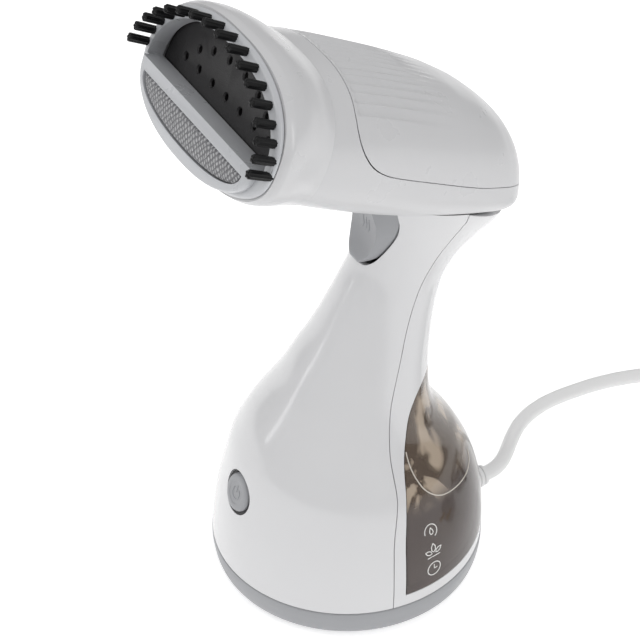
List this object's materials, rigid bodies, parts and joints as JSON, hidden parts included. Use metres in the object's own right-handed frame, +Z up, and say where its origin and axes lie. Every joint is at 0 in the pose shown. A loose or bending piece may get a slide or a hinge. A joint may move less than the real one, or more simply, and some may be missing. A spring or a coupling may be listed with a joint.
{
  "type": "handheld garment steamer",
  "caption": "Handheld garment steamer with a tilted steam head, clip-on bristle and lint attachment, trigger, smoked rear water tank, round foot and mains cord.",
  "frame": {"origin": "on the table under the middle of the round foot", "axes": "+Z up, -Y the side the steam head and power button face, +X lateral"},
  "size_m": [0.1742, 0.3205, 0.2574],
  "materials": {
    "white_shell": "glossy white ABS",
    "white_head": "satin white, heat-resistant",
    "grey_plastic": "fine matt grey",
    "frame_grey": "light grey, slightly translucent",
    "smoked_tank": "clear smoked brown",
    "coated_plate": "black non-stick coating",
    "black_plastic": "black",
    "bristle_nylon": "black nylon",
    "lint_fabric": "grey woven lint fabric",
    "cast_aluminium": "as cast",
    "steel": "plated",
    "brass": "bright",
    "copper_winding": "enamelled copper wire",
    "black_rubber": "matt",
    "silicone": "milky",
    "inner_plastic": "moulded, unpainted",
    "circuit_board": "green solder resist",
    "cord_sheath": "white PVC sheath",
    "wire_blue": "blue insulation",
    "wire_brown": "brown insulation"
  },
  "bodies": {
    "main": {"base_shell": "grey_plastic", "foot_pad_1": "black_rubber", "foot_pad_2": "black_rubber", "foot_pad_3": "black_rubber", "base_screw_1": "steel", "base_screw_2": "steel", "base_screw_3": "steel", "front_shell": "white_shell", "rear_frame": "white_shell", "back_screw_1": "steel", "back_screw_2": "steel", "tank_tray": "inner_plastic", "button_ring": "black_plastic", "button_spring": "steel", "control_board": "circuit_board", "button_switch": "black_plastic", "relay": "black_plastic", "trigger_pin": "steel", "trigger_switch": "black_plastic", "trigger_spring": "steel", "head_housing": "white_head", "top_cover": "white_head", "front_ring": "white_head", "steam_plate": "coated_plate", "steam_chamber": "cast_aluminium", "plate_gasket": "silicone", "heater_lead_1": "steel", "heater_lead_2": "steel", "thermostat": "black_plastic", "thermal_fuse": "brass", "steam_inlet": "brass", "pump_bracket": "inner_plastic", "pump_coil": "copper_winding", "pump_yoke": "steel", "pump_body": "black_plastic", "inlet_hose": "silicone", "outlet_hose": "silicone", "terminal_block": "inner_plastic", "cord_clamp": "inner_plastic", "clamp_screw_1": "steel", "clamp_screw_2": "steel", "mains_wire_1": "wire_blue", "mains_wire_2": "wire_brown", "cord_gland": "cord_sheath", "cord_lead": "cord_sheath", "cord_coil": "cord_sheath", "cord_tie": "black_plastic", "plug_body": "cord_sheath", "plug_pin_1": "brass", "plug_pin_2": "brass"},
    "attachment": {"attachment_frame": "frame_grey", "bristle_strip": "bristle_nylon", "lint_pad": "lint_fabric"},
    "tank": {"water_tank": "smoked_tank", "tank_valve": "black_rubber", "pickup_tube": "silicone"},
    "cap": {"tank_cap": "silicone"},
    "trigger": {"trigger": "grey_plastic"},
    "button": {"power_button": "grey_plastic"}
  },
  "joints": [
    {"name": "trigger_hinge", "type": "hinge", "parent": "main", "child": "trigger", "pos_m": [0, 0.0174, 0.1682], "axis": [1, 0, 0], "range_deg": [0, 5.2], "stiffness_Nm_per_rad": 0.9, "springref_deg": -4.58},
    {"name": "power_press", "type": "slide", "parent": "main", "child": "button", "axis": [0, 0.9397, -0.342], "range_m": [0, 0.0008], "stiffness_N_per_m": 1500, "springref_m": -0.0008},
    {"name": "attachment_release", "type": "slide", "parent": "main", "child": "attachment", "axis": [0, -0.8988, 0.4384], "range_m": [0, 0.03]},
    {"name": "tank_release", "type": "slide", "parent": "main", "child": "tank", "axis": [0, 1, 0], "range_m": [0, 0.09]},
    {"name": "cap_release", "type": "slide", "parent": "tank", "child": "cap", "axis": [0, -0.978, 0.2085], "range_m": [0, 0.008]}
  ]
}
